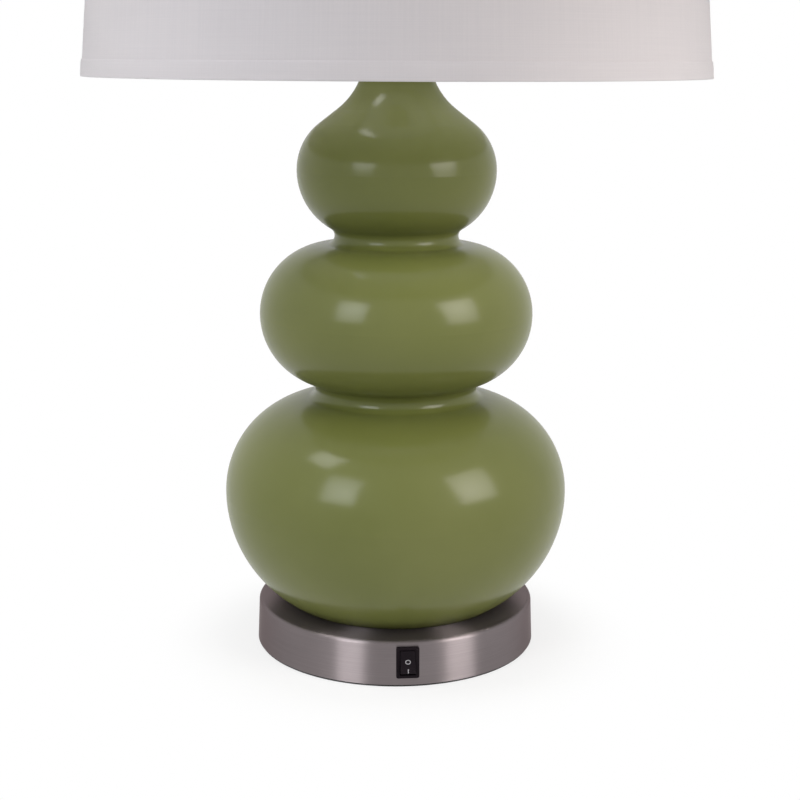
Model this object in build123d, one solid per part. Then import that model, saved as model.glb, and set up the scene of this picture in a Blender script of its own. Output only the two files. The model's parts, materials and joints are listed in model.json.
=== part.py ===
from build123d import *
import math
import os

# Table lamp: a glazed ceramic body of three stacked bulbs on a round brushed-metal foot
# with a rocker switch in its side, and a tapered drum shade on a harp.
# Millimetres. The origin is the centre of the foot's underside, +Z is up, the switch faces -Y.

# ------------------------------------------------------------------ foot
foot_radius = 96.3            # at the lower rim
foot_draft = 2.4              # degrees that the side leans in
foot_height = 30.9            # from the table to the foot's top face
foot_wall = 1.2
foot_shoulder = 2.6           # rounding between the side and the top face
felt_thickness = 1.5
felt_inset = 0.8              # felt edge inside the lower rim
cover_thickness = 2.0
cover_clearance = 0.4         # between the bottom cover and the foot's wall
post_count = 4
post_circle = 78.0            # radius of the circle that the cover posts stand on
post_radius = 3.6
screw_radius = 1.5
screw_head_radius = 3.0
screw_length = 11.0
screw_clearance = 0.05
ballast_radius = 64.0
ballast_thickness = 11.0
ballast_chamfer = 1.2

# ------------------------------------------------------------------ centre tube and its fixings
tube_radius = 4.8
tube_bore = 3.2
tube_clearance = 0.4          # in every plate that the tube passes
tube_below_nut = 2.4
tube_in_socket = 4.6          # above the harp saddle
washer_radius = 17.0
washer_thickness = 2.0
nut_flats = 14.2              # across the flats
nut_thickness = 4.6
nut_thread_clearance = 0.05
nut_chamfer = 0.5

# ------------------------------------------------------------------ ceramic body
gasket_thickness = 0.8
gasket_width = 12.0
gasket_inset = 2.6            # gasket edge inside the ceramic foot
body_wall = 5.0
body_floor = 6.0
body_hole_radius = 22.0
body_foot_round = 1.4
neck_lip_round = 1.6
low_bulb_radius = 116.9
low_bulb_height = 107.4       # height of its widest circle
low_bulb_under = 89.2         # radius of the arc under the widest circle
low_bulb_over = 65.3          # radius of the arc over the widest circle
mid_bulb_radius = 91.9
mid_bulb_height = 229.6
mid_bulb_under = 48.0
mid_bulb_over = 47.0
top_bulb_radius = 66.3
top_bulb_height = 325.3
top_bulb_under = 44.3
top_bulb_over = 38.5
low_waist_round = 6.2         # radius of the hollow over the low bulb
high_waist_round = 5.6        # radius of the hollow over the middle bulb
waist_slack = 1.05            # least hollow over the one that only just reaches both bulbs
shoulder_slope = 52.5         # degrees that the straight of the top shoulder leans from upright
neck_radius = 21.1            # where the neck stands upright
neck_sweep = 45.6             # radius of the hollow curve into the neck

# ------------------------------------------------------------------ fittings over the neck
cap_thickness = 1.0
cap_overhang = 1.6            # cap rim outside the neck
cap_gap = 0.3                 # cap skirt to the neck
cap_skirt = 3.4
cap_crown_radius = 12.5
cap_crown_height = 3.2
collar_radius = 9.8
collar_wall = 0.9
collar_height = 12.6
saddle_thickness = 1.6
saddle_width = 12.0
saddle_shoulder = 9.0         # height of the saddle's wide uprights
saddle_bend = 2.4
tongue_width = 3.4
tongue_length = 12.0
lap_gap = 0.1                 # between the tongue and the harp's foot

# ------------------------------------------------------------------ harp
harp_height = 228.6           # from the saddle to the harp's top
harp_leg = 24.0               # from the centre to a leg's axis
harp_half_width = 57.0
harp_wire = 1.7               # wire radius
harp_foot_radius = 2.1
harp_seat_gap = 0.2
harp_plate_length = 19.0
harp_plate_width = 9.0
harp_plate_thickness = 3.4
ferrule_bore = 2.6
ferrule_radius = 3.9
ferrule_length = 14.0
ferrule_flare = 0.5
swivel_clearance = 0.08
swivel_gap = 0.15
swivel_pin_radius = 2.6
swivel_head_radius = 4.0
swivel_head_thickness = 1.4
swivel_seat_radius = 9.5
swivel_seat_thickness = 2.0
stud_radius = 3.1
stud_length = 12.0

# ------------------------------------------------------------------ lamp socket
socket_radius = 16.8          # of the metal shell
socket_wall = 0.6
socket_cap_wall = 0.6
socket_cap_height = 23.0
socket_cap_hub_radius = 8.6
socket_cap_hub_height = 4.0
socket_fit = 0.1              # between nested sleeves
socket_lap = 7.0              # shell depth inside the cap's rim
socket_shell_height = 43.0
socket_bead = 0.9
liner_wall = 0.5
core_height = 14.0
core_gap = 0.6
screw_shell_bore = 13.4
screw_shell_wall = 0.5
screw_shell_height = 24.0
contact_width = 5.0
contact_rise = 2.2
contact_thickness = 0.4
terminal_radius = 2.8
terminal_thickness = 1.4
terminal_shank_radius = 1.4
terminal_shank_length = 4.0
set_screw_radius = 1.5

# ------------------------------------------------------------------ light bulb
bulb_seat_gap = 0.25
bulb_radius = 30.0
bulb_wall = 1.0
bulb_neck_radius = 12.2
bulb_neck_sweep = 40.0
bulb_neck_length = 9.0
bulb_cap_radius = 12.95
bulb_cap_wall = 0.45
bulb_cap_height = 20.0
bulb_tip_radius = 4.4
bulb_tip_height = 1.6
bulb_insulator_height = 4.6

# ------------------------------------------------------------------ shade
shade_height = 279.4
shade_bottom_radius = 203.2   # outside the lower hem
shade_top_radius = 177.8      # outside the upper hem
fabric_thickness = 0.6
liner_thickness = 0.6
hem_thickness = 0.5
hem_height = 10.7
hem_return = 7.0              # height of the hem inside the shade
hem_notch_clearance = 0.4     # around a spider arm where it passes the hem
ring_wire = 1.6               # wire radius
ring_inset = 2.6              # ring axis to the shade's edge
spider_drop = 12.7            # hub below the upper ring
spider_arms = 3
spider_wire = 1.5
spider_bend = 10.0
hub_radius = 12.0
hub_thickness = 1.8
hub_clearance = 0.4

# ------------------------------------------------------------------ finial
finial_foot_radius = 7.5
finial_neck_radius = 4.7
finial_neck_height = 9.0
finial_ball_radius = 9.0
finial_fit = 0.2
finial_hole_spare = 1.0

# ------------------------------------------------------------------ rocker switch
switch_height = 17.0          # height of its centre on the foot's side
bezel_width = 15.0
bezel_height = 21.0
bezel_thickness = 1.8
bezel_corner = 1.2
bezel_round = 0.5
switch_body_width = 12.8
switch_body_height = 18.8
switch_body_depth = 13.5
switch_panel_clearance = 0.2
snap_width = 6.0              # spring tabs that hold the switch in the foot's wall
snap_length = 4.5
snap_bite = 0.7               # tab's edge outside the hole
snap_gap = 0.2                # between the foot's wall and the tabs
well_width = 10.4
well_height = 16.9
well_depth = 8.0              # behind the foot's side
rocker_width = 9.8
rocker_half_length = 7.4
rocker_face_height = 3.75     # valley of the face above the pivot
rocker_throw = 20.0           # degrees between off and on
rocker_belly = 3.0
rocker_round = 0.4
pivot_depth = 1.2             # behind the foot's side
pivot_pin_radius = 0.95
pivot_clearance = 0.05
pivot_pin_length = 0.8
spade_width = 4.8
spade_thickness = 0.8
spade_length = 7.5
spade_root = 4.0              # length inside the switch body
spade_pitch = 8.0
spade_clearance = 0.05

# ------------------------------------------------------------------ cord bush
bush_height = 15.0
bush_bore = 3.4
bush_radius = 5.9
bush_flange_radius = 7.6
bush_flange_thickness = 1.6
bush_clearance = 0.15
bush_snap_radius = 6.9
bush_snap_length = 2.2
bush_snap_gap = 0.35

# ------------------------------------------------------------------ heights that follow
cover_top = felt_thickness + cover_thickness
foot_ceiling = foot_height - foot_wall
ballast_bottom = foot_ceiling - ballast_thickness
low_washer_bottom = ballast_bottom - washer_thickness
low_nut_bottom = low_washer_bottom - nut_thickness
tube_bottom = low_nut_bottom - tube_below_nut
body_bottom = foot_height + gasket_thickness
tube_hole = tube_radius + tube_clearance


def slope_point(centre, radius, angle):
    """Point of a circle, its angle measured up from level."""
    turn = math.radians(angle)
    return (centre[0] + radius * math.cos(turn), centre[1] + radius * math.sin(turn))


def top_shoulder():
    """Centre of the hollow curve into the neck, where the neck stands upright."""
    slope = math.radians(shoulder_slope)
    bulge = (top_bulb_radius - top_bulb_over, top_bulb_height)
    start = slope_point(bulge, top_bulb_over, shoulder_slope)
    centre_radius = neck_radius + neck_sweep
    end_radius = centre_radius - neck_sweep * math.cos(slope)
    straight = (start[0] - end_radius) / math.sin(slope)
    end_height = start[1] + straight * math.cos(slope)
    return (centre_radius, end_height + neck_sweep * math.sin(slope))


neck_top = top_shoulder()[1]
cap_top = neck_top + cap_thickness + cap_crown_height
saddle_bottom = cap_top + collar_height
saddle_top = saddle_bottom + saddle_thickness
tongue_bottom = saddle_bottom + saddle_shoulder
tongue_top = tongue_bottom + tongue_length
tube_top = saddle_top + tube_in_socket
harp_top = saddle_bottom + harp_height
swivel_seat_top = harp_top + swivel_gap + swivel_seat_thickness
hub_top = swivel_seat_top + hub_thickness
ring_height = swivel_seat_top + hub_thickness / 2 + spider_drop
shade_top = ring_height + ring_inset
shade_bottom = shade_top - shade_height
socket_cap_rim = saddle_top + socket_cap_height
shell_bottom = socket_cap_rim - socket_lap
shell_top = shell_bottom + socket_shell_height
core_bottom = shell_bottom + socket_fit
core_top = core_bottom + core_height
contact_top = core_top + contact_thickness + contact_rise
bulb_tip = contact_top + bulb_seat_gap
bulb_insulator_bottom = bulb_tip + bulb_tip_height
bulb_cap_bottom = bulb_insulator_bottom + bulb_insulator_height
bulb_cap_top = bulb_cap_bottom + bulb_cap_height
bulb_centre = bulb_cap_top + math.sqrt(
    (bulb_radius + bulb_neck_sweep) ** 2 - (bulb_neck_radius + bulb_neck_sweep) ** 2
)


# ------------------------------------------------------------------ helpers
def turned(points, rounds=()):
    """A part turned about Z from its half section; rounds pairs a corner's index with its radius."""
    face = make_face(Polyline(*points, close=True))
    for index, radius in rounds:
        face = fillet(face.vertices().sort_by_distance((*points[index], 0))[0], radius)
    return revolve(Plane.XZ * face, Axis.Z)


def disc(radius, bottom, height, hole=0.0):
    """A flat round plate or, with a hole, a ring or sleeve."""
    return turned([(hole, bottom), (radius, bottom), (radius, bottom + height), (hole, bottom + height)])


def arc(centre, radius, start, end):
    """Arc of a circle between two angles in degrees, in either direction."""
    return CenterArc(centre, radius, start, end - start)


def angle_of(centre, point):
    return math.degrees(math.atan2(point[1] - centre[1], point[0] - centre[0]))


def side_radius(height):
    """Outer radius of the foot's side at a height."""
    return foot_radius - (height - felt_thickness) * math.tan(math.radians(foot_draft))


def side_plane(azimuth, height):
    """Plane lying on the foot's side: local Z points outwards and local Y up; azimuth 0 is the front."""
    turn, lean = math.radians(azimuth), math.radians(foot_draft)
    across = (math.cos(turn), math.sin(turn), 0)
    level = (math.sin(turn), -math.cos(turn))
    out = (level[0] * math.cos(lean), level[1] * math.cos(lean), math.sin(lean))
    reach = side_radius(height)
    return Plane(origin=(level[0] * reach, level[1] * reach, height), x_dir=across, z_dir=out)


def post_places():
    step = 360 / post_count
    return [Rot(0, 0, step * (i + 0.5)) * Pos(post_circle, 0, 0) for i in range(post_count)]


# ------------------------------------------------------------------ foot
def base_pan():
    """Pressed metal foot: drafted side, rounded shoulder, open underneath."""
    inner_low = foot_radius - foot_wall
    inner_high = side_radius(foot_ceiling) - foot_wall
    shell = turned(
        [
            (tube_hole, foot_height),
            (side_radius(foot_height), foot_height),
            (foot_radius, felt_thickness),
            (inner_low, felt_thickness),
            (inner_high, foot_ceiling),
            (tube_hole, foot_ceiling),
        ],
        [(1, foot_shoulder), (4, max(foot_shoulder - foot_wall, 0.3))],
    )
    reach = bush_flange_radius + bezel_height
    panel = Box(
        switch_body_width + 2 * switch_panel_clearance,
        switch_body_height + 2 * switch_panel_clearance,
        reach,
    )
    bush_hole = Cylinder(bush_radius + bush_clearance, reach)
    shell -= side_plane(0, switch_height) * panel
    shell -= side_plane(180, bush_height) * bush_hole
    return shell


def base_felt():
    return disc(foot_radius - felt_inset, 0, felt_thickness)


def base_cover():
    """Bottom plate, countersunk for its screws."""
    plate = disc(foot_radius - foot_wall - cover_clearance - cover_thickness * math.tan(math.radians(foot_draft)),
                 felt_thickness, cover_thickness)
    sink = screw_head_radius - screw_radius
    for place in post_places():
        plate -= place * Pos(0, 0, felt_thickness) * screw_shape(screw_clearance, cover_thickness, sink)
    return plate


def screw_shape(spare, length, sink):
    """Countersunk screw, head down, or with spare room the hole that it passes."""
    head = Cone(screw_head_radius + spare, screw_radius + spare, sink, align=(Align.CENTER, Align.CENTER, Align.MIN))
    return head + Cylinder(screw_radius + spare, length, align=(Align.CENTER, Align.CENTER, Align.MIN))


def cover_screws():
    sink = screw_head_radius - screw_radius
    return [place * Pos(0, 0, felt_thickness) * screw_shape(0, screw_length, sink) for place in post_places()]


def cover_posts():
    """Posts fixed under the foot's ceiling that take the cover's screws."""
    bore = screw_radius + screw_clearance
    depth = felt_thickness + screw_length + 1.0 - cover_top
    post = turned(
        [
            (bore, cover_top),
            (post_radius, cover_top),
            (post_radius, foot_ceiling),
            (0, foot_ceiling),
            (0, cover_top + depth),
            (bore, cover_top + depth),
        ]
    )
    return [place * post for place in post_places()]


def ballast():
    """Cast weight under the foot's ceiling."""
    ring = disc(ballast_radius, ballast_bottom, ballast_thickness, tube_hole)
    rims = ring.edges().filter_by(GeomType.CIRCLE).sort_by(SortBy.RADIUS)[-2:]
    return chamfer(rims, ballast_chamfer)


def hex_nut(bottom):
    """Lock nut on the centre tube."""
    nut = extrude(RegularPolygon(nut_flats / 2, 6, major_radius=False), nut_thickness)
    corner = nut_flats / 2 / math.cos(math.pi / 6)
    rounding = turned(
        [
            (0, 0),
            (corner - nut_chamfer, 0),
            (corner, nut_chamfer * 0.6),
            (corner, nut_thickness - nut_chamfer * 0.6),
            (corner - nut_chamfer, nut_thickness),
            (0, nut_thickness),
        ]
    )
    nut = (nut & rounding) - Cylinder(tube_radius + nut_thread_clearance, 3 * nut_thickness)
    return Pos(0, 0, bottom) * nut


def centre_tube():
    return disc(tube_radius, tube_bottom, tube_top - tube_bottom, tube_bore)


# ------------------------------------------------------------------ ceramic body
def waist_hollow(least, low, low_arc, high, high_arc):
    """Radius and centre of the hollow that touches the arc under it and the arc over it from outside.

    The hollow has its own radius, or more where the bulbs stand too far apart for it to reach both.
    """
    dx, dz = high[0] - low[0], high[1] - low[1]
    span = math.hypot(dx, dz)
    hollow = max(least, (span - low_arc - high_arc) / 2 * waist_slack)
    a, b = low_arc + hollow, high_arc + hollow
    along = (a * a - b * b + span * span) / (2 * span)
    out = math.sqrt(a * a - along * along)
    return hollow, (low[0] + (dx * along + dz * out) / span, low[1] + (dz * along - dx * out) / span)


def body_outline(depth, bottom):
    """Half outline of the three bulbs, depth inside the outer surface, from bottom to the neck."""
    low_under = (low_bulb_radius - low_bulb_under, low_bulb_height)
    low_over = (low_bulb_radius - low_bulb_over, low_bulb_height)
    mid_under = (mid_bulb_radius - mid_bulb_under, mid_bulb_height)
    mid_over = (mid_bulb_radius - mid_bulb_over, mid_bulb_height)
    top_under = (top_bulb_radius - top_bulb_under, top_bulb_height)
    top_over = (top_bulb_radius - top_bulb_over, top_bulb_height)
    low_hollow, low_waist = waist_hollow(low_waist_round, low_over, low_bulb_over, mid_under, mid_bulb_under)
    high_hollow, high_waist = waist_hollow(high_waist_round, mid_over, mid_bulb_over, top_under, top_bulb_under)
    neck = top_shoulder()
    foot_angle = -math.degrees(math.asin((low_bulb_height - bottom) / (low_bulb_under - depth)))
    edges = [
        arc(low_under, low_bulb_under - depth, foot_angle, 0),
        arc(low_over, low_bulb_over - depth, 0, angle_of(low_over, low_waist)),
        arc(low_waist, low_hollow + depth, angle_of(low_waist, low_over) + 360, angle_of(low_waist, mid_under)),
        arc(mid_under, mid_bulb_under - depth, angle_of(mid_under, low_waist), 0),
        arc(mid_over, mid_bulb_over - depth, 0, angle_of(mid_over, high_waist)),
        arc(high_waist, high_hollow + depth, angle_of(high_waist, mid_over) + 360, angle_of(high_waist, top_under)),
        arc(top_under, top_bulb_under - depth, angle_of(top_under, high_waist), 0),
        arc(top_over, top_bulb_over - depth, 0, shoulder_slope),
    ]
    sweep = arc(neck, neck_sweep + depth, 180 + shoulder_slope, 180)
    return edges + [Line(edges[-1] @ 1, sweep @ 0), sweep]


def ceramic_body():
    """Hollow slip-cast body with an even wall, open at the neck and through its floor."""
    outer = body_outline(0, body_bottom)
    inner = body_outline(body_wall, body_bottom + body_floor)
    outer_foot, inner_foot = outer[0] @ 0, inner[0] @ 0
    rest = Polyline(
        inner_foot,
        (body_hole_radius, body_bottom + body_floor),
        (body_hole_radius, body_bottom),
        outer_foot,
    )
    face = make_face([*outer, Line(outer[-1] @ 1, inner[-1] @ 1), *inner, rest])
    lip = min(neck_lip_round, body_wall * 0.45)
    for point, radius in ((outer_foot, body_foot_round), (outer[-1] @ 1, lip), (inner[-1] @ 1, lip)):
        face = fillet(face.vertices().sort_by_distance(point)[0], radius)
    return revolve(Plane.XZ * face, Axis.Z)


def seat_gasket():
    foot = (body_outline(0, body_bottom)[0] @ 0).X
    radius = foot - gasket_inset
    return disc(radius, foot_height, gasket_thickness, radius - gasket_width)


# ------------------------------------------------------------------ fittings over the neck
def vase_cap():
    """Spun cap over the neck's lip, with a raised crown."""
    rim = neck_radius + cap_gap + cap_thickness + cap_overhang
    skirt_in = neck_radius + cap_gap
    low = neck_top - cap_skirt
    return turned(
        [
            (tube_hole, neck_top),
            (skirt_in, neck_top),
            (skirt_in, low),
            (rim, low),
            (rim, neck_top),
            (cap_crown_radius, cap_top),
            (tube_hole, cap_top),
        ],
        [(4, 1.8), (5, 2.0), (3, 0.5)],
    )


def neck_collar():
    """Tube that stands on the vase cap, hides the upper nut and carries the saddle."""
    return disc(collar_radius, cap_top, collar_height, collar_radius - collar_wall)


def harp_saddle():
    """Bent strip with an upright at each side, ending in a tongue that the harp laps."""
    outer = harp_leg - lap_gap / 2
    strip = Polyline(
        (-outer, tongue_bottom),
        (-outer, saddle_bottom),
        (outer, saddle_bottom),
        (outer, tongue_bottom),
        (outer - saddle_thickness, tongue_bottom),
        (outer - saddle_thickness, saddle_top),
        (-outer + saddle_thickness, saddle_top),
        (-outer + saddle_thickness, tongue_bottom),
        close=True,
    )
    face = make_face(strip)
    inside = max(saddle_bend - saddle_thickness, 0.4)
    for x in (-outer, outer):
        face = fillet(face.vertices().sort_by_distance((x, saddle_bottom, 0))[0], saddle_bend)
    for x in (-outer + saddle_thickness, outer - saddle_thickness):
        face = fillet(face.vertices().sort_by_distance((x, saddle_top, 0))[0], inside)
    saddle = extrude(Plane.XZ * face, saddle_width / 2, both=True)
    saddle -= Pos(0, 0, saddle_bottom) * Cylinder(tube_hole, 3 * saddle_thickness)
    for side in (-1, 1):
        middle = side * (outer - saddle_thickness / 2)
        saddle += Pos(middle, 0, tongue_bottom + tongue_length / 2) * Box(
            saddle_thickness, tongue_width, tongue_length
        )
    return saddle


# ------------------------------------------------------------------ harp
def harp_side():
    """One side of the harp: a lapped foot, a straight leg for the ferrule and the bow."""
    bow_low = saddle_bottom + 0.24 * harp_height
    bow_wide = saddle_bottom + 0.48 * harp_height
    bow_turn = saddle_bottom + 0.77 * harp_height
    plate_middle = harp_top - harp_plate_thickness / 2
    path = FilletPolyline(
        (harp_leg, 0, tongue_top + harp_seat_gap),
        (harp_leg, 0, bow_low),
        (harp_half_width, 0, bow_wide),
        (harp_half_width, 0, bow_turn),
        (harp_half_width / 2, 0, plate_middle),
        (harp_plate_length / 2 - harp_wire, 0, plate_middle),
        radius=[80, 100, 100, 28],
    )
    wire = sweep(Plane(path @ 0, z_dir=path % 0) * Circle(harp_wire), path)
    foot_length = tongue_length + harp_seat_gap + harp_wire
    foot = Pos(harp_leg, 0, tongue_bottom + 0.5 + foot_length / 2) * (
        Cylinder(harp_foot_radius, foot_length)
        & Pos(harp_foot_radius + lap_gap / 2, 0, 0) * Box(2 * harp_foot_radius, 3 * harp_foot_radius, foot_length)
    )
    return wire + foot


def harp():
    """Bowed wire harp with a flat top plate for the swivel."""
    side = harp_side()
    plate = Box(harp_plate_length, harp_plate_width, harp_plate_thickness)
    plate = fillet(plate.edges().filter_by(Axis.Z), harp_plate_width * 0.3)
    bow = side + mirror(side, Plane.YZ) + Pos(0, 0, harp_top - harp_plate_thickness / 2) * plate
    return bow - Pos(0, 0, harp_top) * Cylinder(swivel_pin_radius + swivel_clearance, 3 * harp_plate_thickness)


def harp_ferrule(side):
    """Sleeve that slides down over the lap of tongue and harp foot."""
    bottom = tongue_bottom
    sleeve = turned(
        [
            (ferrule_bore, bottom),
            (ferrule_radius + ferrule_flare, bottom),
            (ferrule_radius, bottom + 2.5),
            (ferrule_radius, bottom + ferrule_length),
            (ferrule_bore, bottom + ferrule_length),
        ],
        [(3, 0.5)],
    )
    return Pos(side * harp_leg, 0, 0) * sleeve


def harp_swivel():
    """Riveted swivel: head, pin through the plate, seat for the shade, threaded stud."""
    head_top = harp_top - harp_plate_thickness - swivel_gap
    seat = harp_top + swivel_gap
    return turned(
        [
            (0, head_top - swivel_head_thickness),
            (swivel_head_radius, head_top - swivel_head_thickness),
            (swivel_head_radius, head_top),
            (swivel_pin_radius, head_top),
            (swivel_pin_radius, seat),
            (swivel_seat_radius, seat),
            (swivel_seat_radius, swivel_seat_top),
            (stud_radius, swivel_seat_top),
            (stud_radius, swivel_seat_top + stud_length),
            (0, swivel_seat_top + stud_length),
        ],
        [(1, 0.6), (8, 0.5), (5, 0.4)],
    )


# ------------------------------------------------------------------ lamp socket
def socket_cap():
    """Cup that screws onto the centre tube and takes the shell in its rim."""
    rim = socket_radius + socket_fit + socket_cap_wall
    inside = rim - socket_cap_wall
    shoulder = saddle_top + socket_cap_hub_height + 8.0
    hub_top_height = saddle_top + socket_cap_hub_height
    bore = tube_radius + nut_thread_clearance
    return turned(
        [
            (bore, saddle_top),
            (socket_cap_hub_radius, saddle_top),
            (socket_cap_hub_radius, hub_top_height - socket_cap_wall),
            (rim, shoulder),
            (rim, socket_cap_rim),
            (inside, socket_cap_rim),
            (inside, shoulder + socket_cap_wall),
            (socket_cap_hub_radius, hub_top_height),
            (bore, hub_top_height),
        ],
        [(3, 3.0), (6, 2.4)],
    ) - Pos(0, -socket_cap_hub_radius, saddle_top + socket_cap_hub_height / 2 - 0.3) * Rot(90, 0, 0) * Cylinder(
        set_screw_radius * 0.8 + screw_clearance, 2 * (socket_cap_hub_radius - bore)
    )


def socket_set_screw():
    """Grub screw that locks the cap on the centre tube."""
    length = socket_cap_hub_radius - tube_radius - 2 * nut_thread_clearance
    middle = tube_radius + 2 * nut_thread_clearance + length / 2
    return Pos(0, -middle, saddle_top + socket_cap_hub_height / 2 - 0.3) * Rot(90, 0, 0) * Cylinder(
        set_screw_radius * 0.8, length
    )


def socket_shell():
    """Metal sleeve with a rolled bead at its mouth."""
    return turned(
        [
            (socket_radius - socket_wall, shell_bottom),
            (socket_radius, shell_bottom),
            (socket_radius, shell_top - 2 * socket_bead),
            (socket_radius + socket_bead, shell_top - socket_bead),
            (socket_radius, shell_top),
            (socket_radius - socket_wall, shell_top),
        ],
        [(3, socket_bead * 0.6)],
    )


def socket_liner():
    radius = socket_radius - socket_wall - socket_fit
    return disc(radius, shell_bottom + socket_fit, socket_shell_height - 1.0, radius - liner_wall)


def terminal_side():
    """Distance from the axis to the faces that carry the terminal screws."""
    return screw_shell_bore - terminal_thickness


def socket_core():
    """Moulded inner body with a flat at each side for a terminal."""
    radius = socket_radius - socket_wall - 2 * socket_fit - liner_wall - core_gap
    core = disc(radius, core_bottom, core_height)
    for side in (-1, 1):
        core -= Pos(0, side * (terminal_side() + radius), core_bottom + core_height / 2) * Box(
            3 * terminal_radius, 2 * radius, 3 * core_height
        )
        core -= Pos(0, side * terminal_side(), core_bottom + core_height / 2) * Rot(90, 0, 0) * Cylinder(
            terminal_shank_radius + screw_clearance, 2 * terminal_shank_length
        )
    return core


def socket_terminals():
    screws = []
    for side in (-1, 1):
        head = Pos(0, 0, terminal_thickness / 2) * Cylinder(terminal_radius, terminal_thickness)
        slot = Pos(0, 0, terminal_thickness) * Box(3 * terminal_radius, 0.7, terminal_thickness)
        shank = Pos(0, 0, -terminal_shank_length * 0.45) * Cylinder(terminal_shank_radius, terminal_shank_length * 0.9)
        place = Pos(0, side * terminal_side(), core_bottom + core_height / 2) * Rot(-90 * side, 0, 0)
        screws.append(place * (head - slot + shank))
    return screws


def socket_screw_shell():
    """Cup that takes the bulb's cap, open round the centre contact."""
    outer = screw_shell_bore + screw_shell_wall
    return turned(
        [
            (contact_width + 2.0, core_top),
            (outer, core_top),
            (outer, core_top + screw_shell_height),
            (screw_shell_bore, core_top + screw_shell_height),
            (screw_shell_bore, core_top + screw_shell_wall),
            (contact_width + 2.0, core_top + screw_shell_wall),
        ]
    )


def socket_contact():
    """Springy centre tongue under the bulb's tip."""
    reach = contact_width
    path = Polyline((-reach, core_top), (reach * 0.2, core_top), (reach * 0.8, core_top + contact_rise))
    strip = make_face(
        Polyline(
            path @ 0,
            (reach * 0.2, core_top),
            path @ 1,
            (reach * 0.8, core_top + contact_rise + contact_thickness),
            (reach * 0.2 - contact_thickness * 0.5, core_top + contact_thickness),
            (-reach, core_top + contact_thickness),
            close=True,
        )
    )
    return extrude(Plane.XZ * strip, contact_width / 2, both=True)


# ------------------------------------------------------------------ light bulb
def bulb_outline(depth):
    """Half outline of the glass, depth inside its outer surface, from the neck's end to the crown."""
    centre = (0, bulb_centre)
    sweep_centre = (bulb_neck_radius + bulb_neck_sweep, bulb_cap_top)
    join = angle_of(centre, sweep_centre)
    neck = bulb_neck_radius - depth
    return [
        Line((neck, bulb_cap_top - bulb_neck_length), (neck, bulb_cap_top)),
        arc(sweep_centre, bulb_neck_sweep + depth, 180, 180 + join),
        arc(centre, bulb_radius - depth, join, 90),
    ]


def bulb_glass():
    outer, inner = bulb_outline(0), bulb_outline(bulb_wall)
    ends = [Line(outer[0] @ 0, inner[0] @ 0), Line(outer[-1] @ 1, inner[-1] @ 1)]
    return revolve(Plane.XZ * make_face([*outer, *inner, *ends]), Axis.Z)


def bulb_cap():
    """Screw cap, drawn in towards its insulator."""
    inner = bulb_cap_radius - bulb_cap_wall
    waist = bulb_cap_radius - 2.0
    return turned(
        [
            (waist - bulb_cap_wall, bulb_cap_bottom),
            (waist, bulb_cap_bottom),
            (bulb_cap_radius, bulb_cap_bottom + 2.5),
            (bulb_cap_radius, bulb_cap_top),
            (inner, bulb_cap_top),
            (inner, bulb_cap_bottom + 2.5),
        ]
    )


def bulb_insulator():
    return turned(
        [
            (0, bulb_insulator_bottom),
            (bulb_tip_radius, bulb_insulator_bottom),
            (bulb_cap_radius - 2.0 - bulb_cap_wall, bulb_cap_bottom),
            (0, bulb_cap_bottom),
        ]
    )


def bulb_tip_contact():
    return turned(
        [
            (0, bulb_tip),
            (bulb_tip_radius * 0.7, bulb_tip),
            (bulb_tip_radius, bulb_insulator_bottom),
            (0, bulb_insulator_bottom),
        ],
        [(1, 0.6)],
    )


# ------------------------------------------------------------------ shade
def shade_radius(height, depth):
    """Radius of the shade's surface at a height, depth inside the outside of the hems."""
    share = (height - shade_bottom) / shade_height
    return shade_bottom_radius + (shade_top_radius - shade_bottom_radius) * share - depth


def shade_layer(depth, thickness, bottom, top):
    """Ring of even thickness that follows the shade's taper."""
    return turned(
        [
            (shade_radius(bottom, depth + thickness), bottom),
            (shade_radius(bottom, depth), bottom),
            (shade_radius(top, depth), top),
            (shade_radius(top, depth + thickness), top),
        ]
    )


def shade_fabric():
    return shade_layer(hem_thickness, fabric_thickness, shade_bottom + hem_thickness, shade_top - hem_thickness)


def shade_liner():
    depth = hem_thickness + fabric_thickness
    return shade_layer(depth, liner_thickness, shade_bottom + hem_thickness, shade_top - hem_thickness)


def ring_radius(height):
    """Radius of a wire ring's axis against the liner."""
    return shade_radius(height, hem_thickness + fabric_thickness + liner_thickness + ring_wire + 0.1)


def wire_ring(height):
    return Pos(0, 0, height) * Torus(ring_radius(height), ring_wire)


def hem_depth():
    """Depth of the hem's inner fold, which clears the wire ring."""
    return hem_thickness + fabric_thickness + liner_thickness + 2 * ring_wire + 0.3


def shade_hem(edge, inward):
    """Folded strip over the shade's edge and its wire ring; inward is 1 at the bottom and -1 at the top."""
    depth = hem_depth()
    heights = [edge, edge + inward * hem_thickness, edge + inward * hem_return, edge + inward * hem_height]
    return turned(
        [
            (shade_radius(heights[0], depth + hem_thickness), heights[0]),
            (shade_radius(heights[0], 0), heights[0]),
            (shade_radius(heights[3], 0), heights[3]),
            (shade_radius(heights[3], hem_thickness), heights[3]),
            (shade_radius(heights[1], hem_thickness), heights[1]),
            (shade_radius(heights[1], depth), heights[1]),
            (shade_radius(heights[2], depth), heights[2]),
            (shade_radius(heights[2], depth + hem_thickness), heights[2]),
        ]
    )


def spider_places():
    return [Rot(0, 0, 90 + i * 360 / spider_arms) for i in range(spider_arms)]


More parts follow.
